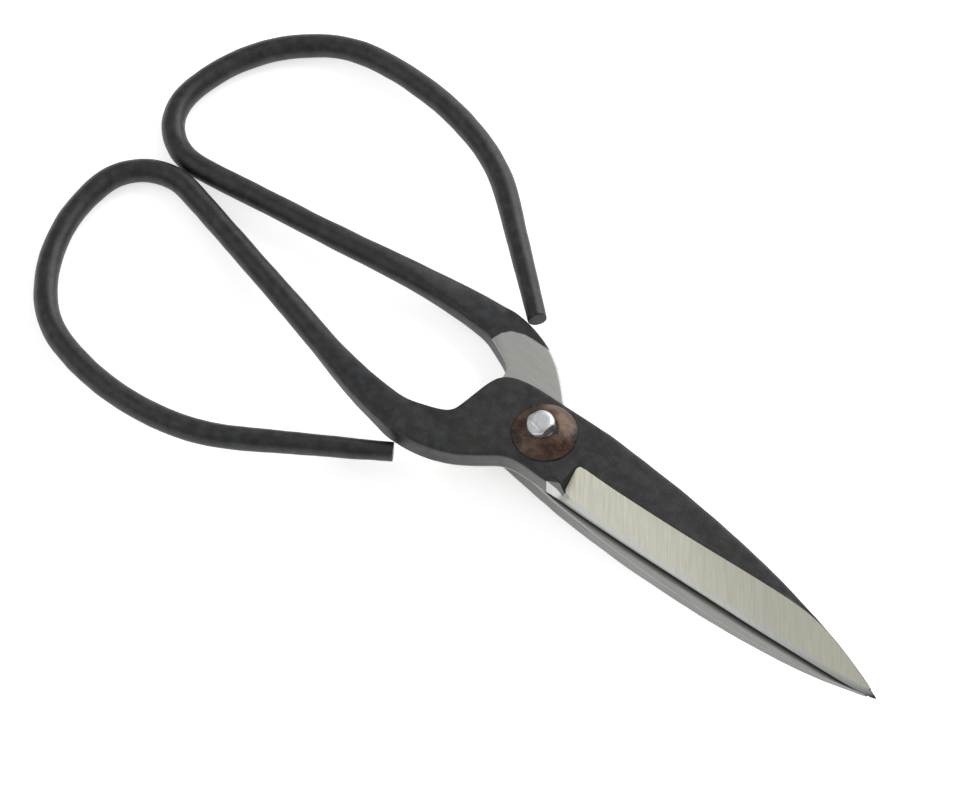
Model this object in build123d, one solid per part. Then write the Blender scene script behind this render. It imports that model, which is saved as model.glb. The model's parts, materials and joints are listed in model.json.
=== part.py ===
from build123d import *
import os

# Forged grass shears: two mirror-image steel forgings, each a blade, a flat heel and a
# round-bar bow in one piece, held together by one rivet through two cup washers.
#
# Frame (mm): the rivet's axis is the Z axis and its flat back end is z = 0, so the shears
# lie on that face. +X runs to the tips and +Z from the back half to the front half.
# Each half is drawn with its ground inner face on z = 0, blade edge and bow towards -Y.
# The rear half is the same forging turned over about X.

# --- Driving dimensions -------------------------------------------------------------------
BLADE_LENGTH = 92.0          # pivot to tip
STOCK = 5.2                  # forged thickness at the heel
FACE_GAP = 0.1               # clearance between the two ground inner faces
WASHER_GAP = 0.05            # the front half turns under its washer
BAR = 5.25                   # diameter of the round bar in the bows
TAIL_END = 4.2               # the free end is drawn down to this

EDGE_LIP = 0.45              # steel left standing under the bevel at the edge
STEEL_WIDTH = 1.4            # visible width of the hard steel laid along the edge
STEEL_START = 8.5            # where that strip begins, measured from the pivot

RIVET_RADIUS = 2.5
PIVOT_CLEARANCE = 0.05       # radial, front half on the rivet
HEAD_RADIUS = 2.95           # hammered ends of the rivet
FRONT_STUB = 2.8             # how far the rivet stands proud of the front washer
HEAD_SHIFT = (-0.45, -0.4)   # hammered over aslant, so the front head sits off the axis
BACK_STUB = 0.9
WASHER_RADIUS = 7.15
WASHER_RISE = 2.4            # height of the dome over the forging
WASHER_WALL = 1.0
WASHER_BORE = 2.6

INNER_FACE_Z = BACK_STUB + WASHER_RISE + STOCK + FACE_GAP / 2   # the plane the halves meet on
SHEAR_BOX = 30.0             # half-size of the cutting blocks used below

# Blade: x, spine y, edge y, y of the ridge between bevel and black face, thickness there.
BLADE_STATIONS = (
    (12.0, 8.95, -8.35, -1.05, 4.95),
    (30.0, 9.25, -7.25, 0.35, 4.25),
    (50.0, 8.15, -5.45, 2.95, 3.3),
    (70.0, 5.5, -3.6, 5.15, 2.4),
    (82.0, 2.9, -2.2, 2.9, 1.6),
    (BLADE_LENGTH, 0.0, 0.0, 0.6, 0.5),
)
# Heel: the hump behind the pivot and the hollow where the hand side begins.
SPINE_BEHIND_PIVOT = ((0.0, 8.2), (-13.2, 6.5))
HUMP = (-16.4, 4.4)
HEEL_BACK_TOP = (-17.25, 1.0)
HEEL_BACK_FOOT = (-17.85, -7.5)
CROTCH = (-18.9, -9.3)
SHANK_INNER = (-20.8, -10.5)
NOTCH = (-2.0, -9.1)         # where the back of the shank meets the cutting edge
SHANK_OUTER = ((-22.0, -20.55), (-14.0, -18.05), (-6.0, -12.75))

# Shank: distance behind the heel, outward shift, width, height, height of its middle over
# the inner face, corner radius.
SHANK_HEADING = 169.1        # degrees, from the heel to the bow
SHANK_START = (-29.0, -16.96)
SHANK_STATIONS = (
    (0.0, 0.0, 7.7, STOCK, STOCK / 2, 0.6),
    (9.0, 0.75, 6.9, 5.0, 2.0, 1.4),
    (18.0, 0.6, 6.1, 5.1, 0.9, 2.1),
    (27.0, 0.2, 5.75, 5.3, 0.1, 2.55),
    (40.0, 0.0, 5.5, 5.35, 0.0, 2.6),
    (50.0, 0.0, BAR, BAR, 0.0, BAR / 2 - 0.02),
)
# Bow: straight run, then left-hand bends (radius, degrees) of the round bar, then the tail.
# The two bows are bent by hand and differ a little.
FRONT_BOW = (23.4, ((12.7, 97.0), (37.5, 50.2), (22.9, 31.0), (59.8, 29.7), (44.7, 18.9)), 33.6)
REAR_BOW = (25.3, ((13.0, 99.9), (37.4, 50.2), (24.6, 29.4), (70.6, 25.9), (43.1, 22.2)), 32.0)


def blade_and_heel_outline():
    """Flat outline of blade and heel, drawn round from the tip along the spine."""
    spine_points = [(x, spine) for x, spine, *_ in reversed(BLADE_STATIONS)]
    spine = Spline(*spine_points, *SPINE_BEHIND_PIVOT)
    hump = ThreePointArc(SPINE_BEHIND_PIVOT[-1], HUMP, HEEL_BACK_TOP)
    heel_back = Line(HEEL_BACK_TOP, HEEL_BACK_FOOT)
    crotch = ThreePointArc(HEEL_BACK_FOOT, CROTCH, SHANK_INNER)
    _, shift, width, *_ = SHANK_STATIONS[0]
    across = shank_plane(0.0, 0.0).x_dir
    inner_end = Vector(*SHANK_START) + across * (shift - width / 2)
    outer_end = Vector(*SHANK_START) + across * (shift + width / 2)
    along = shank_plane(0.0, 0.0).z_dir
    inner = Spline(SHANK_INNER, inner_end, tangents=[crotch % 1, along])
    end = Line(inner_end, outer_end)
    outer = Spline(outer_end, *SHANK_OUTER, NOTCH)
    return make_face([spine, hump, heel_back, crotch, inner, end, outer, cutting_edge()])


def cutting_edge(offset=0.0):
    """The cutting edge seen from above, moved up the blade by offset."""
    points = [(x, edge + offset) for x, _, edge, *_ in BLADE_STATIONS]
    return Spline((NOTCH[0], NOTCH[1] + offset), *points)


def shank_plane(distance, height):
    """Plane square to the shank, its x across the bar (outwards) and its y upwards."""
    along = Vector(1, 0, 0).rotate(Axis.Z, SHANK_HEADING)
    across = along.rotate(Axis.Z, 90)
    origin = Vector(*SHANK_START) + along * distance + Vector(0, 0, height)
    return Plane(origin=origin, x_dir=across, z_dir=along)


def blade_and_heel():
    """Plate of blade and heel, thinned to the tip and bevelled down to the edge."""
    plate = extrude(blade_and_heel_outline(), STOCK)
    side = [(x, thickness) for x, *_, thickness in BLADE_STATIONS]
    profile = Polyline((-2 * SHEAR_BOX, 0), (-2 * SHEAR_BOX, STOCK), (0, STOCK), *side,
                       (BLADE_LENGTH, 0), close=True)
    side_face = Plane.XZ * make_face(profile)
    plate = plate & extrude(side_face, SHEAR_BOX, both=True)
    return plate - bevel_cutter()


def bevel_cutter():
    """Wedge over the ground bevel: a triangle at each station, joined by flat faces."""
    triangles = []
    for x, _, edge, ridge, thickness in BLADE_STATIONS:
        slope = (thickness - EDGE_LIP) / (ridge - edge)
        run_out = 2.0
        foot = (edge - run_out, EDGE_LIP - run_out * slope)
        top = (ridge + run_out, thickness + run_out * slope)
        corner = (edge - run_out, thickness + STOCK)
        outline = make_face(Polyline(foot, top, corner, close=True))
        triangles.append(Plane(origin=(x, 0, 0), x_dir=(0, 1, 0), z_dir=(1, 0, 0)) * outline)
    return loft(triangles, ruled=True)


def shank():
    """Tapering length where the flat heel is drawn down to the round bar."""
    sections = []
    for distance, shift, width, height, middle, corner in SHANK_STATIONS:
        plane = shank_plane(distance, middle)
        sections.append(plane * Pos(shift, 0) * RectangleRounded(width, height, corner))
    return loft(sections, ruled=True)


def bow(straight, bends, tail):
    """Round bar bent into the bow, from the shank round to its free end."""
    plane = shank_plane(SHANK_STATIONS[-1][0], 0.0)
    run = Line(plane.origin, plane.origin + plane.z_dir * straight)
    path = [run]
    for radius, turn in bends:
        path.append(JernArc(path[-1] @ 1, path[-1] % 1, radius, turn))
    bent = sweep(plane * Circle(BAR / 2), path=Wire(path))
    end_plane = Plane(origin=path[-1] @ 1, z_dir=path[-1] % 1)
    taper = end_plane * Pos(0, 0, tail / 2) * Cone(BAR / 2, TAIL_END / 2, tail)
    return bent + taper


def edge_steel_zone():
    """Block that holds the strip of hard steel along the cutting edge."""
    upper = cutting_edge(STEEL_WIDTH)
    far = Line(upper @ 1, upper @ 1 + Vector(4, 0))
    drop = Line(far @ 1, far @ 1 - Vector(0, SHEAR_BOX / 2))
    low = Line(drop @ 1, Vector(NOTCH[0], (drop @ 1).Y))
    close_up = Line(low @ 1, upper @ 0)
    zone = extrude(make_face([upper, far, drop, low, close_up]), STOCK)
    ahead = Pos(STEEL_START + 2 * SHEAR_BOX, 0, 0) * Box(4 * SHEAR_BOX, 4 * SHEAR_BOX, 4 * STOCK)
    return zone & ahead


def half(bore_radius, bow_shape):
    """One forging and its edge steel, inner face on z = 0."""
    plate = blade_and_heel() - Cylinder(bore_radius, 4 * STOCK)
    zone = edge_steel_zone()
    edge_steel = plate & zone
    forging = (plate - zone) + shank() + bow(*bow_shape)
    return forging, edge_steel


def cup_washer():
    """Domed washer with its rim on z = 0."""
    rim = (WASHER_RADIUS, 0)
    crown = (WASHER_BORE, WASHER_RISE)
    shoulder = (WASHER_RADIUS * 0.72, WASHER_RISE * 0.68)
    hollow_crown = (WASHER_BORE, WASHER_RISE - WASHER_WALL)
    hollow_rim = (WASHER_RADIUS - WASHER_WALL, 0)
    hollow_shoulder = (WASHER_RADIUS * 0.62, (WASHER_RISE - WASHER_WALL) * 0.68)
    section = make_face([
        ThreePointArc(rim, shoulder, crown),
        Line(crown, hollow_crown),
        ThreePointArc(hollow_crown, hollow_shoulder, hollow_rim),
        Line(hollow_rim, rim),
    ])
    return revolve(Plane.XZ * section, Axis.Z)


def rivet():
    """Shaft with both ends hammered out wider than the washers' holes."""
    front_end = INNER_FACE_Z + FACE_GAP / 2 + STOCK + WASHER_GAP + WASHER_RISE
    head_base = BACK_STUB
    shaft = Pos(0, 0, head_base) * Cylinder(RIVET_RADIUS, front_end - head_base,
                                            align=(Align.CENTER, Align.CENTER, Align.MIN))
    back_head = Cylinder(HEAD_RADIUS, BACK_STUB, align=(Align.CENTER, Align.CENTER, Align.MIN))
    back_head = chamfer(back_head.edges().sort_by(Axis.Z)[0], 0.35)
    front_head = Pos(*HEAD_SHIFT, front_end) * Cylinder(
        HEAD_RADIUS, FRONT_STUB, align=(Align.CENTER, Align.CENTER, Align.MIN))
    front_head = chamfer(front_head.edges().sort_by(Axis.Z)[-1], 0.7)
    return shaft + back_head + front_head


front_place = Pos(0, 0, INNER_FACE_Z + FACE_GAP / 2)
rear_place = Pos(0, 0, INNER_FACE_Z - FACE_GAP / 2) * Rot(180, 0, 0)
front_washer_place = front_place * Pos(0, 0, STOCK + WASHER_GAP)
back_washer_place = rear_place * Pos(0, 0, STOCK)

front_half, front_edge_steel = half(RIVET_RADIUS + PIVOT_CLEARANCE, FRONT_BOW)
rear_half, rear_edge_steel = half(RIVET_RADIUS, REAR_BOW)

nodes = {
    "front_half": front_place * front_half,
    "front_edge_steel": front_place * front_edge_steel,
    "rear_half": rear_place * rear_half,
    "rear_edge_steel": rear_place * rear_edge_steel,
    "pivot_rivet": rivet(),
    "front_washer": front_washer_place * cup_washer(),
    "back_washer": back_washer_place * cup_washer(),
}

os.makedirs("parts", exist_ok=True)
for name, shape in nodes.items():
    export_step(shape, f"parts/{name}.step")
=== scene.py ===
import json
import math

import bmesh
import bpy
from mathutils import Matrix, Vector


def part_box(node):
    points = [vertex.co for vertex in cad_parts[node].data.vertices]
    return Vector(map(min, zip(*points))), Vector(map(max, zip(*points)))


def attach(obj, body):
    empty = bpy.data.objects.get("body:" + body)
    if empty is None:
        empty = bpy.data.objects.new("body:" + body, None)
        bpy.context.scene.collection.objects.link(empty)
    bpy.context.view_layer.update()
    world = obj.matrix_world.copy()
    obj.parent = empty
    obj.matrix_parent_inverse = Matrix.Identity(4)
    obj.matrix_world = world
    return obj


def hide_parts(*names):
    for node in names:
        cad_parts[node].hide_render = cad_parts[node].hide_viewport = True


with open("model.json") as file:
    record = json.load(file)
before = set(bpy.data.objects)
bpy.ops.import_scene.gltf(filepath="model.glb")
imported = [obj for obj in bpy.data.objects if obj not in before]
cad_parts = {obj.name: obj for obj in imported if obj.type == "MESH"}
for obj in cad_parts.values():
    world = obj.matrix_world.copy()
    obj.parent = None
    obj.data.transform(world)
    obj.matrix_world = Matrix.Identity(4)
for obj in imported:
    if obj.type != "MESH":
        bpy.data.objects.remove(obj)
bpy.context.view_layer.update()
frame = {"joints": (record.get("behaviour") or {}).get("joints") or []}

# --- The two forgings ----------------------------------------------------------------------
# Each half is one piece of carbon steel: the bar is hammered flat and tapered into blade and
# heel at one end and bent into the bow at the other. The scale from the fire stays on it,
# except where the bevel, the inner face and the rim of the plate are ground bare.

MM = 0.001
PIVOT = Vector(frame["joints"][0]["pos_m"])
FRONT_INNER_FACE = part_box("front_edge_steel")[0].z
REAR_INNER_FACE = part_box("rear_edge_steel")[1].z

POINTS = 24                  # points round one section: 1 is the spine side, 13 the edge side
RIDGE_POINT = 8
JOINT_TOP = 12
JOINT_FOOT = 14
EASE = 0.3                   # hammered corner of the plate
GROUND_EASE = 0.06           # corner left by the grinding of the inner face
JOINT_EASE = 0.02            # corner of the heel where the edge steel is laid on
STEEL_WIDTH = 1.4            # strip of edge steel in front of the forging
EDGE_LIP = 0.45              # height of the bevel's plane over the edge
SPRING = 0.34                # the blades bow apart this much half way to the tip
SPRING_FULLNESS = 0.6        # below 1, so the gap opens quickly at each end
SPRING_START = 2.0
BLADE_TIP = 92.0

# Blade from its tip to the bevel's start, mm: x, spine, edge, ridge, thickness.
BLADE = (
    (90.1, 0.62, -0.95, 0.6, 0.75),
    (88.0, 1.2, -1.45, 1.15, 0.98),
    (84.0, 2.35, -2.0, 2.3, 1.38),
    (80.0, 3.45, -2.5, 3.4, 1.75),
    (75.0, 4.55, -3.05, 4.4, 2.1),
    (70.0, 5.5, -3.6, 5.0, 2.4),
    (65.0, 6.42, -4.15, 4.75, 2.65),
    (60.0, 7.17, -4.65, 4.25, 2.87),
    (50.0, 8.15, -5.5, 2.95, 3.3),
    (40.0, 8.85, -6.4, 1.5, 3.77),
    (30.0, 9.22, -7.25, 0.35, 4.25),
    (20.0, 9.2, -7.95, -0.65, 4.62),
    (15.0, 9.1, -8.2, -0.97, 4.82),
)
PLUNGE_RIDGE = (10.4, -1.05)  # the bevel's near end runs from the ridge to the joint
PLUNGE_FOOT = (11.4, -6.98)
PLUNGE_CORNER_X = 10.8       # the step's top corner at the joint
PLUNGE_LEAN = 0.1            # the step leans back this much
PLUNGE_SPINE = 8.98
PLUNGE_EDGE = -8.35
PLUNGE_THICKNESS = 4.93

# Heel: where each section starts on the spine side and ends on the edge side.
HEEL_THICKNESS = 5.2
HEEL_TAPER = 0.021           # thinner by this for each mm in front of the pivot
HEEL = (
    ((8.6, 8.82), (8.5, -7.08)),
    ((8.2, 8.8), (8.1, -8.7)),
    ((4.0, 8.5), (4.0, -8.85)),
    ((0.0, 8.2), (0.2, -9.0)),
    ((-5.0, 7.85), (-3.2, -9.95)),
    ((-9.5, 7.4), (-6.0, -12.7)),
    ((-13.0, 6.65), (-8.6, -14.9)),
    ((-15.05, 5.55), (-10.6, -16.4)),
    ((-16.5, 3.95), (-12.4, -17.5)),
    ((-17.15, 1.8), (-14.2, -18.4)),
    ((-17.5, -1.5), (-16.2, -19.2)),
    ((-17.75, -4.8), (-18.4, -19.9)),
    ((-17.95, -7.65), (-20.6, -20.4)),
    ((-19.0, -9.45), (-22.9, -20.75)),
    ((-21.2, -10.6), (-25.2, -20.95)),
    ((-24.6, -11.9), (-27.3, -20.95)),
)
# Shank: distance from its start, outward shift, width, height, height of its middle over the
# inner face, squareness.
SHANK_HEADING = math.radians(169.1)
SHANK_START = Vector((-29.0, -16.96, 0.0))
SHANK = (
    (0.0, 0.0, 7.7, 5.2, 2.6, 6.0),
    (5.0, 0.45, 7.35, 5.1, 2.25, 4.6),
    (9.0, 0.75, 6.9, 5.0, 2.0, 3.8),
    (13.5, 0.7, 6.5, 5.05, 1.4, 3.1),
    (18.0, 0.6, 6.1, 5.1, 0.9, 2.6),
    (22.5, 0.4, 5.92, 5.2, 0.45, 2.3),
    (27.0, 0.2, 5.75, 5.3, 0.1, 2.1),
    (33.0, 0.1, 5.62, 5.32, 0.05, 2.0),
    (40.0, 0.0, 5.5, 5.35, 0.0, 2.0),
    (50.0, 0.0, 5.25, 5.25, 0.0, 2.0),
)
TAIL_TAPER = 0.2             # the free end is drawn down by this share
BAR_STEP = 2.6               # spacing of the sections along the bar
CAGE_SWELL = 1.0105          # a smoothed ring of 24 points shrinks by this much
# Each bow: straight run, bends (radius, degrees), tail. The bends are the output of a
# least-squares fit, not chosen by hand, and so is the shank's heading.
FRONT_BOW = (23.4, ((12.7, 97.0), (37.5, 50.2), (22.9, 31.0), (59.8, 29.7), (44.7, 18.9)), 33.6)
REAR_BOW = (25.3, ((13.0, 99.9), (37.4, 50.2), (24.6, 29.4), (70.6, 25.9), (43.1, 22.2)), 32.0)
SHARP = 0.9
SKINS = {"scale": 0, "bevel": 1, "inner": 2, "rim": 3}


def spring(x):
    """How far the blade stands off the other one at x."""
    along = (x - SPRING_START) / (BLADE_TIP - SPRING_START)
    return SPRING * math.sin(math.pi * min(max(along, 0.0), 1.0)) ** SPRING_FULLNESS


def between(start, end, parts, count):
    """count points that divide start to end, leaving the ends out."""
    return [start + (end - start) * (k + 1) / parts for k in range(count)]


def blade_section(x, spine, edge, ridge, thickness):
    """Points round the blade: wall at the spine, black face, ridge, bevel, joint, inner face."""
    joint = edge + STEEL_WIDTH
    slope = (thickness - EDGE_LIP) / (ridge - edge)
    foot_height = EDGE_LIP + STEEL_WIDTH * slope
    black = spine - ridge
    ease = min(EASE, black * 0.3)
    points = [(spine, thickness * 0.3), (spine, thickness * 0.6), (spine, thickness - ease)]
    points.append((spine - ease, thickness))
    points += [(y, thickness) for y in between(spine - ease, ridge, 5, 4)]
    points.append((ridge, thickness))
    points += [(y, thickness - (ridge - y) * slope) for y in between(ridge, joint, 4, 3)]
    points += [(joint, foot_height), (joint, foot_height / 2), (joint, 0.0)]
    points += [(y, 0.0) for y in between(joint, spine - GROUND_EASE, 8, 7)]
    points += [(spine - GROUND_EASE, 0.0), (spine, GROUND_EASE)]
    return [Vector((x, y, z + spring(x))) for y, z in points]


def plate_section(start, end, thickness, outer_ease):
    """Points round the flat heel, whose two hammered corners are eased."""
    start, end = Vector((*start, 0.0)), Vector((*end, 0.0))
    across = (end - start).normalized()
    width = (end - start).length
    points = [(0.0, thickness * 0.3), (0.0, thickness * 0.6), (0.0, thickness - EASE)]
    points.append((EASE, thickness))
    points += [(s, thickness) for s in between(EASE, width - outer_ease, 8, 7)]
    points += [(width - outer_ease, thickness), (width, thickness - outer_ease)]
    points.append((width, thickness * 0.5))
    points += [(width, GROUND_EASE), (width - GROUND_EASE, 0.0)]
    points += [(s, 0.0) for s in between(width - GROUND_EASE, GROUND_EASE, 7, 6)]
    points += [(GROUND_EASE, 0.0), (0.0, GROUND_EASE)]
    placed = [start + across * s + Vector((0.0, 0.0, z)) for s, z in points]
    return [point + Vector((0.0, 0.0, spring(point.x))) for point in placed]


def bar_section(distance, shift, width, height, middle, squareness):
    """Points round the shank: a rounded oblong that turns into the round bar."""
    along = Vector((math.cos(SHANK_HEADING), math.sin(SHANK_HEADING), 0.0))
    across = Vector((-along.y, along.x, 0.0))
    centre = SHANK_START + along * distance + across * shift + Vector((0.0, 0.0, middle))
    points = []
    for k in range(POINTS):
        turn = math.pi - (k - 1) * 2 * math.pi / POINTS
        u, v = math.cos(turn), math.sin(turn)
        u = math.copysign(abs(u) ** (2 / squareness), u) * width / 2 * CAGE_SWELL
        v = math.copysign(abs(v) ** (2 / squareness), v) * height / 2 * CAGE_SWELL
        points.append(centre + across * u + Vector((0.0, 0.0, v)))
    return points


def first_section(mesh, points):
    """Starts a mesh with its closed end."""
    ring = [mesh.verts.new(point) for point in points]
    for a, b in zip(ring, ring[1:] + ring[:1]):
        mesh.edges.new((a, b))
    mesh.faces.new(ring)
    return ring


def next_section(mesh, ring, points):
    """Extrudes the open end of the mesh to the next section."""
    edges = [mesh.edges.get((a, b)) for a, b in zip(ring, ring[1:] + ring[:1])]
    made = set(bmesh.ops.extrude_edge_only(mesh, edges=edges)["geom"])
    fresh = [next(e.other_vert(v) for e in v.link_edges if e.other_vert(v) in made) for v in ring]
    for vert, point in zip(fresh, points):
        vert.co = point
    return fresh


def skin_sides(mesh, ring, fresh, skins):
    """Gives each side between two sections its skin."""
    for k, skin in enumerate(skins):
        after = (k + 1) % POINTS
        face = mesh.faces.get((ring[k], ring[after], fresh[after], fresh[k]))
        face.material_index = SKINS[skin]


def skins_of(top, bevel, outer, inner, wall):
    """One skin for each side of the section: wall 23-2, top 2-8, bevel 8-12, outer 12-14."""
    sides = [wall, wall, top, top, top, top, top, top, bevel, bevel, bevel, bevel]
    return sides + [outer, outer] + [inner] * 9 + [wall]


def crease(mesh, start, end, sharpness):
    """Holds an edge against the smoothing; from SHARP up it is shaded as a corner too."""
    edge = mesh.edges.get((start, end))
    edge[mesh.edges.layers.float["crease_edge"]] = sharpness
    edge.smooth = sharpness < SHARP


def bent_bar(mesh, ring, straight, bends, tail):
    """Runs the round bar on from the shank, straight and round each bend, to its cut end."""
    heading = SHANK_HEADING
    along = Vector((math.cos(heading), math.sin(heading), 0.0))
    position = SHANK_START + along * SHANK[-1][0]
    moves = [(straight, 0.0, 0.0)]
    moves += [(math.radians(turn) * radius, radius, math.radians(turn)) for radius, turn in bends]
    moves += [(tail, 0.0, 0.0)]
    end = ring + [mesh.edges.get((a, b)) for a, b in zip(ring, ring[1:] + ring[:1])]
    for length, radius, turn in moves:
        along = Vector((math.cos(heading), math.sin(heading), 0.0))
        left = Vector((-along.y, along.x, 0.0))
        steps = max(2, round(length / BAR_STEP))
        stride = along * (length / steps) if turn == 0.0 else Vector()
        centre = position + left * radius
        before = len(mesh.verts)
        spun = bmesh.ops.spin(mesh, geom=end, cent=centre, axis=(0, 0, 1), dvec=stride,
                              angle=turn, steps=steps)
        end = spun["geom_last"]
        if turn == 0.0:
            position = position + along * length
        else:
            position = centre + Matrix.Rotation(turn, 3, "Z") @ (position - centre)
        heading += turn
    for vert in list(mesh.verts)[before:]:
        reach = (vert.co - position).dot(along) + tail
        axis_point = position + along * (reach - tail)
        vert.co = axis_point + (vert.co - axis_point) * (1.0 - TAIL_TAPER * reach / tail)
    return end


def close_cut_end(mesh, end):
    """Cuts the bar off square, with the small burr filed round."""
    layer = mesh.edges.layers.float["crease_edge"]
    edges = [e for e in end if isinstance(e, bmesh.types.BMEdge)]
    for edge in edges:
        edge[layer] = 0.55
    cap = bmesh.ops.contextual_create(mesh, geom=edges)["faces"]
    bmesh.ops.inset_region(mesh, faces=cap, thickness=0.5)
    bmesh.ops.inset_region(mesh, faces=cap, thickness=0.8)


def set_half(mesh, turned_over):
    """Turns the rear half over and sets either half, in metres, on its inner face's plane."""
    if turned_over:
        over = Matrix.Rotation(math.pi, 3, "X")
        bmesh.ops.rotate(mesh, verts=mesh.verts, cent=(0, 0, 0), matrix=over)
    bmesh.ops.scale(mesh, vec=(MM, MM, MM), verts=mesh.verts)
    height = REAR_INNER_FACE if turned_over else FRONT_INNER_FACE
    bmesh.ops.translate(mesh, vec=(0, 0, height), verts=mesh.verts)


def link_piece(mesh, name):
    """Makes the finished mesh an object of the scene."""
    for face in mesh.faces:
        face.smooth = True
    data = bpy.data.meshes.new(name)
    mesh.to_mesh(data)
    mesh.free()
    piece = bpy.data.objects.new(name, data)
    bpy.context.scene.collection.objects.link(piece)
    return piece


def forging_mesh(name, bow, turned_over):
    """Blade, heel, shank and bow of one half, as one closed mesh."""
    mesh = bmesh.new()
    mesh.edges.layers.float.new("crease_edge")
    sections = [(blade_section(*row), skins_of("scale", "bevel", "scale", "inner", "rim"))
                for row in BLADE]
    # The bevel ends in a steep step, up to the black face.
    near = blade_section(PLUNGE_FOOT[0], PLUNGE_SPINE, PLUNGE_FOOT[1] - STEEL_WIDTH,
                         PLUNGE_RIDGE[1], PLUNGE_THICKNESS)
    step = [point.copy() for point in near]
    for k in range(POINTS):
        share = (near[k].y - PLUNGE_RIDGE[1]) / (PLUNGE_FOOT[1] - PLUNGE_RIDGE[1])
        share = min(max(share, 0.0), 1.0)
        near[k].x = PLUNGE_RIDGE[0] + (PLUNGE_FOOT[0] - PLUNGE_RIDGE[0]) * share
        step[k].x = PLUNGE_RIDGE[0] - PLUNGE_LEAN + (PLUNGE_CORNER_X - PLUNGE_RIDGE[0]) * share
        if RIDGE_POINT <= k <= JOINT_TOP:
            step[k].z = PLUNGE_THICKNESS + spring(step[k].x)
    sections.append((near, skins_of("scale", "bevel", "scale", "inner", "rim")))
    sections.append((step, skins_of("scale", "scale", "scale", "inner", "rim")))
    for number, (start, end) in enumerate(HEEL):
        bare_outer = "rim" if number > 0 else "scale"
        outer_ease = EASE if number > 0 else JOINT_EASE
        thickness = HEEL_THICKNESS - max(start[0], 0.0) * HEEL_TAPER
        sections.append((plate_section(start, end, thickness, outer_ease),
                         skins_of("scale", "scale", bare_outer, "inner", "rim")))
    for number, row in enumerate(SHANK):
        side = "rim" if number < 3 else "scale"
        inner = "inner" if number == 0 else "scale"
        sections.append((bar_section(*row), skins_of("scale", "scale", side, inner, side)))
    rings = [first_section(mesh, sections[0][0])]
    for points, skins in sections[1:]:
        rings.append(next_section(mesh, rings[-1], points))
        skin_sides(mesh, rings[-2], rings[-1], skins)
    plunge = len(BLADE)
    for before, after in zip(rings[:plunge + 1], rings[1:plunge + 1]):
        crease(mesh, before[RIDGE_POINT], after[RIDGE_POINT], 0.9)
        crease(mesh, before[JOINT_TOP], after[JOINT_TOP], 1.0)
        crease(mesh, before[JOINT_FOOT], after[JOINT_FOOT], 1.0)
    for before, after in zip(rings[plunge + 1:plunge + 3], rings[plunge + 2:plunge + 4]):
        crease(mesh, before[JOINT_TOP], after[JOINT_TOP], 1.0)
        crease(mesh, before[JOINT_FOOT], after[JOINT_FOOT], 1.0)
    for k in range(JOINT_TOP, JOINT_FOOT):
        crease(mesh, rings[plunge + 1][k], rings[plunge + 1][k + 1], 1.0)
    for ring in rings[plunge:plunge + 2]:
        for k in range(RIDGE_POINT, JOINT_TOP):
            crease(mesh, ring[k], ring[k + 1], 0.95)
    for ring in rings[plunge + 2:plunge + 4]:
        for k in range(JOINT_TOP - 1, JOINT_FOOT + 1):
            crease(mesh, ring[k], ring[k + 1], 1.0)
    # The corners of the ground inner face stay crisp.
    for number, (before, after) in enumerate(zip(rings, rings[1:plunge + 2 + len(HEEL)])):
        for k in (22, 23) if number < plunge + 2 else (14, 15, 22, 23):
            mesh.edges.get((before[k], after[k])).smooth = False
    close_cut_end(mesh, bent_bar(mesh, rings[-1], *bow))
    bmesh.ops.recalc_face_normals(mesh, faces=mesh.faces)
    # Hammer marks go on everything but the ground faces.
    hammered = mesh.verts.layers.deform.verify()
    for vert in mesh.verts:
        skins = [face.material_index for face in vert.link_faces]
        vert[hammered][0] = 0.0 if SKINS["bevel"] in skins or SKINS["inner"] in skins else 1.0
    set_half(mesh, turned_over)
    piece = link_piece(mesh, name)
    piece.vertex_groups.new(name="hammered")
    return piece


def linear(code):
    """sRGB hex to the linear colour that a shader takes."""
    channels = [int(code[k:k + 2], 16) / 255 for k in (1, 3, 5)]
    return (*[c / 12.92 if c <= 0.04045 else ((c + 0.055) / 1.055) ** 2.4 for c in channels], 1.0)


def node(tree, kind, links=None, values=None, **settings):
    """Adds a shader node with its settings, its numbers and its links."""
    made = tree.nodes.new("ShaderNode" + kind)
    for name, value in settings.items():
        setattr(made, name, value)
    for name, value in (values or {}).items():
        made.inputs[name].default_value = value
    for name, source in (links or {}).items():
        tree.links.new(source, made.inputs[name])
    return made


# Sockets of the Mix node.
MIX_COLOUR = {"data_type": "RGBA"}
COLOUR_A, COLOUR_B, COLOUR_OUT = 6, 7, 2
FLOAT_A, FLOAT_B, FLOAT_OUT = 2, 3, 0


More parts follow.
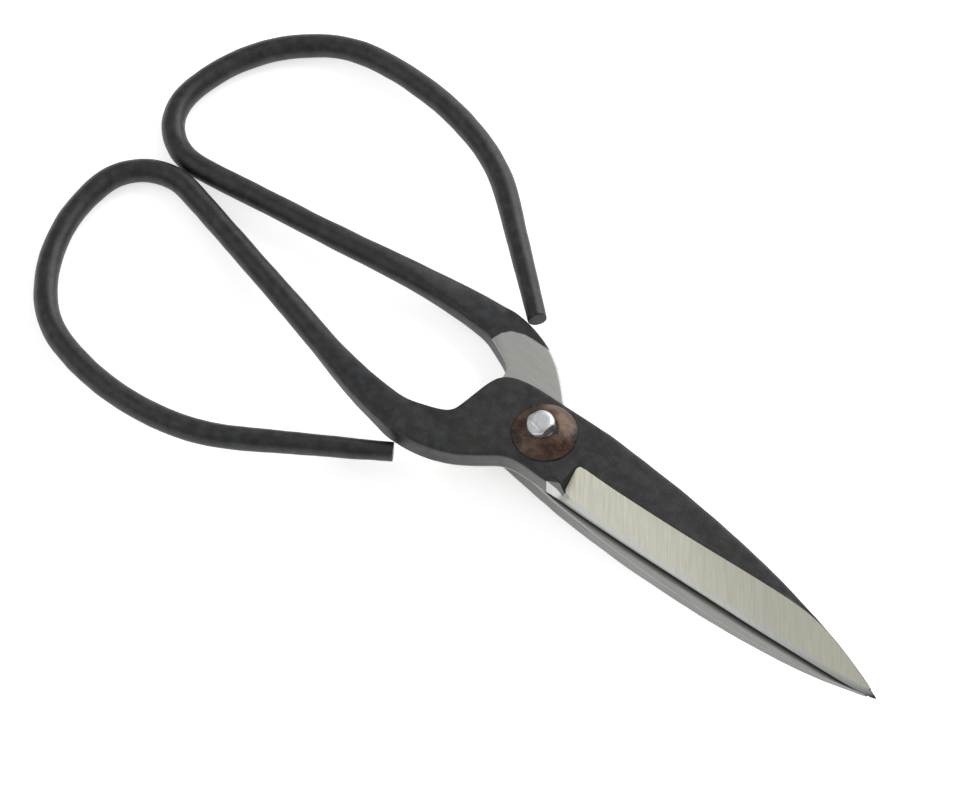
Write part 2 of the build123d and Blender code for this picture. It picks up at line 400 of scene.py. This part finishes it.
def forged_steel(name, bare_part, mark_sizes, mark_turn, bare_light, bare_dark, bare_gloss,
                 edge_shade=None):
    """Carbon steel under black forge scale; bare_part gives 1 where it is ground bright.

    mark_sizes are the lengths (mm) of the grinding marks along the axes turned by mark_turn.
    The last argument is a painted shade: the colour the bare steel goes to low over the inner face, near
    the cutting edge, standing in for the darker reflection there.
    """
    material = bpy.data.materials.new(name)
    material.use_nodes = True
    tree = material.node_tree
    shader = tree.nodes["Principled BSDF"]
    place = node(tree, "TexCoord").outputs["Object"]
    # Scale: patches of blue, brown and green black, a fine dull grain, a few rubbed specks.
    patches = node(tree, "TexNoise", {"Vector": place},
                   {"Scale": 1 / (7 * MM), "Detail": 4.0, "Roughness": 0.6}).outputs["Fac"]
    tint = node(tree, "TexNoise", {"Vector": place},
                {"Scale": 1 / (2.2 * MM), "Detail": 3.0}).outputs["Fac"]
    grain = node(tree, "TexNoise", {"Vector": place},
                 {"Scale": 1 / (0.45 * MM), "Detail": 4.0, "Roughness": 0.65}).outputs["Fac"]
    patch_share = node(tree, "MapRange", {"Value": patches},
                       {"From Min": 0.38, "From Max": 0.62}).outputs["Result"]
    tint_share = node(tree, "MapRange", {"Value": tint},
                      {"From Min": 0.4, "From Max": 0.66}).outputs["Result"]
    black = node(tree, "Mix", {0: patch_share},
                 {COLOUR_A: linear("#131519"), COLOUR_B: linear("#221c17")}, **MIX_COLOUR)
    black = node(tree, "Mix", {0: tint_share, COLOUR_A: black.outputs[COLOUR_OUT]},
                 {COLOUR_B: linear("#2c2e30")}, **MIX_COLOUR)
    speck = node(tree, "MapRange", {"Value": grain},
                 {"From Min": 0.66, "From Max": 0.76, "To Max": 0.55}).outputs["Result"]
    black = node(tree, "Mix", {0: speck, COLOUR_A: black.outputs[COLOUR_OUT]},
                 {COLOUR_B: linear("#6c6a63")}, **MIX_COLOUR)
    scale_gloss = node(tree, "MapRange", {"Value": grain}, {"To Min": 0.3, "To Max": 0.55})
    scale_rise = node(tree, "Math", {0: patches, 1: grain}, operation="ADD")
    # Ground steel: fine marks across the strip, a little light and dark between them.
    turned = node(tree, "Mapping", {"Vector": place},
                  {"Rotation": (0.0, 0.0, mark_turn),
                   "Scale": tuple(size * MM for size in mark_sizes)},
                  vector_type="TEXTURE")
    marks = node(tree, "TexNoise", {"Vector": turned.outputs["Vector"]},
                 {"Scale": 1.0, "Detail": 3.0, "Roughness": 0.6}).outputs["Fac"]
    mark_share = node(tree, "MapRange", {"Value": marks},
                      {"From Min": 0.3, "From Max": 0.7}).outputs["Result"]
    bright = node(tree, "Mix", {0: mark_share},
                  {COLOUR_A: linear(bare_dark), COLOUR_B: linear(bare_light)}, **MIX_COLOUR)
    # Painted shade and darker reflection: low over the inner face, near the cutting edge, the bare colour
    # goes dark.
    if edge_shade:
        height = node(tree, "SeparateXYZ", {0: place}).outputs["Z"]
        over = node(tree, "Math", {0: height}, {1: PIVOT.z}, operation="SUBTRACT").outputs[0]
        over = node(tree, "Math", {0: over}, operation="ABSOLUTE").outputs[0]
        clear_of_edge_shade = node(tree, "MapRange", {"Value": over},
                     {"From Min": 0.3 * MM, "From Max": 0.95 * MM}).outputs["Result"]
        bright = node(tree, "Mix", {0: clear_of_edge_shade, COLOUR_B: bright.outputs[COLOUR_OUT]},
                      {COLOUR_A: linear(edge_shade)}, **MIX_COLOUR)
    bright_gloss = node(tree, "MapRange", {"Value": marks},
                        {"To Min": bare_gloss + 0.08, "To Max": bare_gloss - 0.04})
    bare = bare_part(tree, place)
    colour = node(tree, "Mix", {0: bare, COLOUR_A: black.outputs[COLOUR_OUT],
                                COLOUR_B: bright.outputs[COLOUR_OUT]}, **MIX_COLOUR)
    gloss = node(tree, "Mix", {0: bare, FLOAT_A: scale_gloss.outputs["Result"],
                               FLOAT_B: bright_gloss.outputs["Result"]})
    rise = node(tree, "Mix", {0: bare, FLOAT_A: scale_rise.outputs[0], FLOAT_B: marks})
    depth = node(tree, "Mix", {0: bare}, {FLOAT_A: 0.05 * MM, FLOAT_B: 0.012 * MM})
    bump = node(tree, "Bump", {"Height": rise.outputs[FLOAT_OUT],
                               "Distance": depth.outputs[FLOAT_OUT]}, {"Strength": 1.0})
    tree.links.new(colour.outputs[COLOUR_OUT], shader.inputs["Base Color"])
    tree.links.new(bare, shader.inputs["Metallic"])
    tree.links.new(gloss.outputs[FLOAT_OUT], shader.inputs["Roughness"])
    tree.links.new(bump.outputs["Normal"], shader.inputs["Normal"])
    return material


def worn_bare(low, high):
    """Ground bare from x = high to the tip, scale before x = low, patchy in between (mm)."""
    wander_range = 12 * MM

    def mask(tree, place):
        x = node(tree, "SeparateXYZ", {0: place}).outputs["X"]
        rough = node(tree, "TexNoise", {"Vector": place}, {"Scale": 1 / (2.0 * MM), "Detail": 4.0})
        wander = node(tree, "Math", {0: rough.outputs["Fac"]},
                      {1: wander_range, 2: -wander_range / 2}, operation="MULTIPLY_ADD")
        along = node(tree, "Math", {0: x, 1: wander.outputs[0]}, operation="ADD")
        return node(tree, "MapRange", {"Value": along.outputs[0]},
                    {"From Min": low * MM, "From Max": high * MM}).outputs["Result"]

    return mask


def ground_inner_face(tree, place):
    """The wheel leaves the heel bare up to a curved line short of the shank."""
    axes = node(tree, "SeparateXYZ", {0: place})
    side = node(tree, "Math", {0: axes.outputs["Y"]}, operation="ABSOLUTE").outputs[0]
    back = node(tree, "MapRange", {"Value": axes.outputs["X"]},
                {"From Min": -13.0 * MM, "From Max": -26.2 * MM, "To Max": 1.0}, clamp=False)
    out = node(tree, "MapRange", {"Value": side},
               {"From Min": 9.0 * MM, "From Max": 18.5 * MM}, clamp=False)
    powers = []
    for part in (back, out):
        kept = node(tree, "Math", {0: part.outputs["Result"]}, {1: 0.0}, operation="MAXIMUM")
        powers.append(node(tree, "Math", {0: kept.outputs[0]}, {1: 3.6}, operation="POWER"))
    total = node(tree, "Math", {0: powers[0].outputs[0], 1: powers[1].outputs[0]},
                 operation="ADD")
    rough = node(tree, "TexNoise", {"Vector": place}, {"Scale": 1 / (1.6 * MM), "Detail": 4.0})
    wander = node(tree, "Math", {0: rough.outputs["Fac"], 2: total.outputs[0]}, {1: 0.22},
                  operation="MULTIPLY_ADD")
    return node(tree, "MapRange", {"Value": wander.outputs[0]},
                {"From Min": 1.14, "From Max": 1.07}).outputs["Result"]


# Black forge scale: nearly black, satin, mottled; light only where it curves to the sky.
forge_scale = forged_steel("black_forge_scale", worn_bare(300, 400), (0.4, 9, 9), 0.0,
                           "#a0a0a0", "#808080", 0.4)
# Bevel off a coarse wheel: pale warm steel with short marks across it.
ground_bevel = forged_steel("wheel_ground_bevel", worn_bare(-12.0, -6.0), (0.35, 7, 7),
                            math.radians(42), "#dcdbcb", "#cccbbd", 0.4)
# Inner face off a flat stone: greyer and smoother, marks along the blade.
ground_inner = forged_steel("stone_ground_inner_face", ground_inner_face, (6, 0.4, 6), 0.0,
                            "#b6b7b1", "#a9aaa5", 0.38)
# Rim of the plate, filed along: grey steel, going to worn scale towards the shank.
filed_rim = forged_steel("filed_rim", worn_bare(-18.0, 24.0), (7, 7, 0.8), 0.0,
                         "#949592", "#898a87", 0.48)

hammer_marks = bpy.data.textures.new("hammer_marks", "CLOUDS")
hammer_marks.noise_scale = 7 * MM
hammer_marks.noise_depth = 2
HAMMER_DEPTH = 0.28 * MM

FORGINGS = (
    ("front_forging", "front_half", "front", FRONT_BOW, False),
    ("rear_forging", "rear_half", "rear", REAR_BOW, True),
)
for name, cad_node, body, bow, turned_over in FORGINGS:
    forging = forging_mesh(name, bow, turned_over)
    for material in (forge_scale, ground_bevel, ground_inner, filed_rim):
        forging.data.materials.append(material)
    smooth = forging.modifiers.new("smooth", "SUBSURF")
    smooth.levels = smooth.render_levels = 2
    dents = forging.modifiers.new("hammer_marks", "DISPLACE")
    dents.texture = hammer_marks
    dents.texture_coords = "LOCAL"
    dents.vertex_group = "hammered"
    dents.mid_level = 0.5
    dents.strength = HAMMER_DEPTH
    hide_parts(cad_node)
    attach(forging, body)

# --- Edge steel ------------------------------------------------------------------------------
# A slim strip of hard steel is forge-welded along each blade and honed steeper than the bevel,
# so it shows as a narrow line, darkened to blue black towards the edge by painted shade.
# Behind the bevel it keeps the plate's full thickness.

# Strip, mm: x, joint, edge, height at the joint, top corner (y, z), then two points down the
# honed face (y, z).
STEEL_BACK = (
    (8.12, -7.09, -8.66, 5.02, (-8.62, 5.02), (-8.66, 4.9), (-8.66, 1.8)),
    (8.6, -7.08, -8.58, 5.01, (-8.36, 5.01), (-8.48, 4.62), (-8.57, 1.6)),
    (10.0, -7.03, -8.48, 4.98, (-7.46, 4.98), (-7.9, 3.25), (-8.3, 1.2)),
    (10.75, -6.98, -8.4, 4.9, (-7.02, 4.9), (-7.6, 2.4), (-8.1, 0.95)),
)
STRIP_HONED, STRIP_SCALE, STRIP_RIM = 0, 1, 2


def edge_section(x, joint, edge, height, corner, upper, lower):
    """Points round the strip, from the joint over the honed face to the inner face."""
    lift = spring(x)
    points = ((joint, 0.0), (joint, height), corner, upper, lower, (edge, 0.3), (edge + 0.06, 0.2),
              ((joint + edge) / 2, 0.06))
    return [Vector((x, y, z + lift)) for y, z in points]


def edge_mesh(name, turned_over):
    """The strip along one blade, from behind the bevel to the tip."""
    mesh = bmesh.new()
    mesh.edges.layers.float.new("crease_edge")
    rows = list(STEEL_BACK)
    plunge = (PLUNGE_FOOT[0], PLUNGE_SPINE, PLUNGE_EDGE, PLUNGE_RIDGE[1], PLUNGE_THICKNESS)
    for x, _, edge, ridge, thickness in sorted([plunge, *BLADE]):
        slope = (thickness - EDGE_LIP) / (ridge - edge)
        joint = edge + STEEL_WIDTH
        height = EDGE_LIP + STEEL_WIDTH * slope
        hone = ((joint - 0.06, height - 0.06 * slope), (edge + 0.85, height - 0.57 * slope),
                (edge + 0.3, height - 1.2 * slope))
        rows.append((x, joint, edge, height, *hone))
    sections = [edge_section(*row) for row in rows]
    x = rows[-1][0]
    for share in (0.55, 0.97):
        tip_x = x + (BLADE_TIP - x) * share
        sections.append([Vector((tip_x, point.y * (1 - share), point.z * (1 - share * 0.8)))
                         for point in sections[-1]])
    first = ring = first_section(mesh, sections[0])
    for number, points in enumerate(sections[1:]):
        fresh = next_section(mesh, ring, points)
        for k, sharpness in ((0, 1.0), (1, 1.0), (2, 1.0), (5, 0.9), (6, 0.9)):
            crease(mesh, ring[k], fresh[k], sharpness)
        behind_bevel = number < len(STEEL_BACK)
        if behind_bevel:
            crease(mesh, ring[3], fresh[3], 1.0)
        for k, skin in ((1, STRIP_SCALE), (2, STRIP_RIM)):
            face = mesh.faces.get((ring[k], ring[k + 1], fresh[k + 1], fresh[k]))
            face.material_index = skin if behind_bevel else STRIP_HONED
        ring = fresh
    mesh.faces.new(ring)
    for a, b in zip(first, first[1:] + first[:1]):
        crease(mesh, a, b, 1.0)
    bmesh.ops.recalc_face_normals(mesh, faces=mesh.faces)
    set_half(mesh, turned_over)
    return link_piece(mesh, name)


# Honed edge steel: smoother and a little bluer than the bevel, marks too fine to catch the light; towards
# the cutting edge its colour goes to a painted blue-black shade.
honed_steel = forged_steel("honed_edge_steel", worn_bare(-12.0, -6.0), (0.25, 6, 6),
                           math.radians(42), "#d6d8d2", "#c8cbc6", 0.4, "#3a4043")

EDGES = (
    ("front_edge", "front_edge_steel", "front", False),
    ("rear_edge", "rear_edge_steel", "rear", True),
)
for name, cad_node, body, turned_over in EDGES:
    strip = edge_mesh(name, turned_over)
    for material in (honed_steel, forge_scale, filed_rim):
        strip.data.materials.append(material)
    smooth = strip.modifiers.new("smooth", "SUBSURF")
    smooth.levels = smooth.render_levels = 2
    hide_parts(cad_node)
    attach(strip, body)

# --- Rivet -----------------------------------------------------------------------------------
# A length of bright mild steel rod through both halves, hammered over at each end. The front
# end took a few blows aslant, which left flats on its side; the back end is beaten nearly flush.

RIVET_RADIUS = 2.5
RIVET_HEIGHT = 18.75
STUB_FOOT = 16.25
RIVET_PROFILE = (
    (0.0, 0.0), (1.1, 0.0), (2.2, 0.0), (2.75, 0.15), (2.95, 0.45), (2.85, 0.8), (RIVET_RADIUS, 0.9),
    (RIVET_RADIUS, 6.0), (RIVET_RADIUS, 10.0), (RIVET_RADIUS, 16.0), (2.8, STUB_FOOT), (2.98, 16.5),
    (3.02, 16.9), (3.03, 17.3), (3.02, 17.65), (2.98, 17.95), (2.9, 18.2), (2.76, 18.42), (2.56, 18.6),
    (2.3, 18.71), (1.95, RIVET_HEIGHT), (1.3, RIVET_HEIGHT), (0.65, RIVET_HEIGHT), (0.0, RIVET_HEIGHT),
)
HEAD_MIDDLE = Vector((-0.65, -0.58, 17.5))
# Flats left by the blows: direction the flat faces, and its distance from the head's middle.
RIVET_FLATS = (((-0.12, -0.8, 0.6), 2.2), ((0.97, -0.12, 0.1), 2.5), ((-0.85, 0.25, 0.6), 2.55))


def turned_mesh(name, profile, steps):
    """A piece of revolution about the pivot."""
    mesh = bmesh.new()
    verts = [mesh.verts.new((radius, 0.0, height)) for radius, height in profile]
    edges = [mesh.edges.new(pair) for pair in zip(verts, verts[1:])]
    bmesh.ops.spin(mesh, geom=verts + edges, cent=(0, 0, 0), axis=(0, 0, 1), dvec=(0, 0, 0),
                   angle=2 * math.pi, steps=steps, use_merge=True)
    bmesh.ops.remove_doubles(mesh, verts=mesh.verts, dist=0.001)
    bmesh.ops.recalc_face_normals(mesh, faces=mesh.faces)
    bmesh.ops.scale(mesh, vec=(MM, MM, MM), verts=mesh.verts)
    return link_piece(mesh, name)


# Hammered mild steel: the brightest metal here, with soft dimples and a faint brushed grain.
bright_steel = forged_steel("hammered_mild_steel", worn_bare(-90.0, -80.0), (0.6, 3, 3), 0.3,
                            "#dfe2e3", "#c3c7c9", 0.36)
rivet = turned_mesh("rivet", RIVET_PROFILE, 72)
for vert in rivet.data.vertices:
    if vert.co.z > (STUB_FOOT - 0.1) * MM:
        vert.co += Vector((HEAD_MIDDLE.x, HEAD_MIDDLE.y, 0.0)) * MM
        for direction, distance in RIVET_FLATS:
            normal = Vector(direction).normalized()
            proud = (vert.co - HEAD_MIDDLE * MM).dot(normal) - distance * MM
            vert.co -= normal * max(proud, 0.0)
rivet.data.materials.append(bright_steel)
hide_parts("pivot_rivet")
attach(rivet, "rear")

# --- Cup washers -----------------------------------------------------------------------------
# A domed washer stamped from sheet steel sits under each end of the rivet and presses the
# halves together. Both came brown from the fire, with the scale rubbed off in places.

WASHER_PROFILE = (
    (2.6, 1.45), (2.6, 2.2), (2.75, 2.38), (3.2, 2.34), (4.35, 2.0), (5.45, 1.44), (6.4, 0.8), (6.95, 0.3),
    (7.15, 0.12), (7.1, 0.0), (6.2, 0.0), (5.2, 0.62), (4.1, 1.12), (3.0, 1.4), (2.6, 1.45),
)


def brown_scale():
    """Brown scale over sheet steel: dark red brown, greyer and smoother where it is rubbed."""
    material = bpy.data.materials.new("brown_heat_scale")
    material.use_nodes = True
    tree = material.node_tree
    shader = tree.nodes["Principled BSDF"]
    place = node(tree, "TexCoord").outputs["Object"]
    patches = node(tree, "TexNoise", {"Vector": place},
                   {"Scale": 1 / (3.2 * MM), "Detail": 5.0, "Roughness": 0.6}).outputs["Fac"]
    grain = node(tree, "TexNoise", {"Vector": place},
                 {"Scale": 1 / (0.5 * MM), "Detail": 4.0}).outputs["Fac"]
    share = node(tree, "MapRange", {"Value": patches},
                 {"From Min": 0.36, "From Max": 0.66}).outputs["Result"]
    brown = node(tree, "Mix", {0: share},
                 {COLOUR_A: linear("#2b1a12"), COLOUR_B: linear("#6a5040")}, **MIX_COLOUR)
    rubbed = node(tree, "MapRange", {"Value": grain},
                  {"From Min": 0.56, "From Max": 0.74, "To Max": 0.5})
    brown = node(tree, "Mix", {0: rubbed.outputs["Result"], COLOUR_A: brown.outputs[COLOUR_OUT]},
                 {COLOUR_B: linear("#8a7668")}, **MIX_COLOUR)
    gloss = node(tree, "MapRange", {"Value": grain}, {"To Min": 0.24, "To Max": 0.42})
    metal = node(tree, "MapRange", {"Value": patches}, {"To Min": 0.15, "To Max": 0.55})
    rise = node(tree, "Math", {0: patches, 1: grain}, operation="ADD")
    bump = node(tree, "Bump", {"Height": rise.outputs[0]}, {"Strength": 1.0, "Distance": 0.06 * MM})
    tree.links.new(brown.outputs[COLOUR_OUT], shader.inputs["Base Color"])
    tree.links.new(gloss.outputs["Result"], shader.inputs["Roughness"])
    tree.links.new(metal.outputs["Result"], shader.inputs["Metallic"])
    tree.links.new(bump.outputs["Normal"], shader.inputs["Normal"])
    return material


washer_brown = brown_scale()
WASHERS = (
    ("front_cup_washer", "front_washer", 1),
    ("back_cup_washer", "back_washer", -1),
)
for name, cad_node, up in WASHERS:
    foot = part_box(cad_node)[0].z if up > 0 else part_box(cad_node)[1].z
    profile = [(radius, foot / MM + height * up) for radius, height in WASHER_PROFILE]
    washer = turned_mesh(name, profile, 64)
    washer.data.materials.append(washer_brown)
    smooth = washer.modifiers.new("smooth", "SUBSURF")
    smooth.levels = smooth.render_levels = 1
    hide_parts(cad_node)
    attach(washer, "rear")

# --- Floor, light and camera -----------------------------------------------------------------
# The shears lie on a white board: the back of the rivet and both bows touch it, so the board
# is turned a little against the frame.

BOW_REST = Vector((-118.0, 0.0, 5.92)) * MM
RIVET_REST = Vector((-2.2, 0.0, 0.0)) * MM
FLOOR_SIZE = 4.0
floor_data = bmesh.new()
bmesh.ops.create_grid(floor_data, x_segments=1, y_segments=1, size=FLOOR_SIZE / 2)
lean = math.atan2(BOW_REST.z, RIVET_REST.x - BOW_REST.x)
bmesh.ops.rotate(floor_data, verts=floor_data.verts, cent=(0, 0, 0),
                 matrix=Matrix.Rotation(lean, 3, "Y"))
bmesh.ops.translate(floor_data, verts=floor_data.verts, vec=RIVET_REST - Vector((0, 0, 0.02 * MM)))
floor_mesh = bpy.data.meshes.new("floor")
floor_data.to_mesh(floor_mesh)
floor_data.free()
floor = bpy.data.objects.new("floor", floor_mesh)
bpy.context.scene.collection.objects.link(floor)
white_board = bpy.data.materials.new("white_board")
white_board.use_nodes = True
board_shader = white_board.node_tree.nodes["Principled BSDF"]
board_shader.inputs["Base Color"].default_value = linear("#f2f2f2")
board_shader.inputs["Roughness"].default_value = 0.9
board_shader.inputs["Specular IOR Level"].default_value = 0.0
board_shader.inputs["Emission Color"].default_value = (1, 1, 1, 1)
board_shader.inputs["Emission Strength"].default_value = 0.62
floor.data.materials.append(white_board)

world = bpy.data.worlds.new("room")
world.use_nodes = True
world.node_tree.nodes["Background"].inputs["Color"].default_value = (1.0, 1.0, 1.0, 1.0)
world.node_tree.nodes["Background"].inputs["Strength"].default_value = 0.4
bpy.context.scene.world = world

# Soft boxes: name, direction from the shears, distance, side (m), power (W).
SOFT_BOXES = (
    ("key", (-0.40, -0.48, 0.78), 0.9, 0.8, 1.4),
    ("far", (0.05, 0.85, 0.55), 0.9, 0.8, 5.5),
)
for name, direction, distance, side, power in SOFT_BOXES:
    light = bpy.data.lights.new(name, "AREA")
    light.shape = "SQUARE"
    light.size = side
    light.energy = power
    lamp = bpy.data.objects.new(name, light)
    lamp.location = PIVOT + Vector(direction).normalized() * distance
    lamp.rotation_euler = (-Vector(direction)).to_track_quat("-Z", "Y").to_euler()
    bpy.context.scene.collection.objects.link(lamp)

# The angles, the scale that sets the distance and the rivet's place in the view are a camera
# fit's output, not chosen by hand. The lens was chosen.
CAMERA_TURN = math.radians(41.81)   # about Z, from looking along +Y
CAMERA_TILT = math.radians(58.72)   # down from level
CAMERA_DISTANCE = 1277.3
PIVOT_IN_VIEW = (14.37, 10.47)      # the rivet's axis lies right of and below the middle, mm
camera_data = bpy.data.cameras.new("camera")
camera_data.lens = 226.4
camera_data.sensor_width = 36.0
camera_data.clip_end = 20.0
camera = bpy.data.objects.new("camera", camera_data)
right = Vector((math.cos(CAMERA_TURN), math.sin(CAMERA_TURN), 0.0))
ahead = Vector((-math.sin(CAMERA_TURN), math.cos(CAMERA_TURN), 0.0))
forward = ahead * math.cos(CAMERA_TILT) - Vector((0.0, 0.0, math.sin(CAMERA_TILT)))
down = forward.cross(right)
across, below = PIVOT_IN_VIEW
place = PIVOT - (right * across + down * below + forward * CAMERA_DISTANCE) * MM
turn = Matrix((right, -down, -forward)).transposed().to_4x4()
camera.matrix_world = Matrix.Translation(place) @ turn
bpy.context.scene.collection.objects.link(camera)
bpy.context.scene.camera = camera
bpy.context.scene.view_settings.view_transform = "Standard"
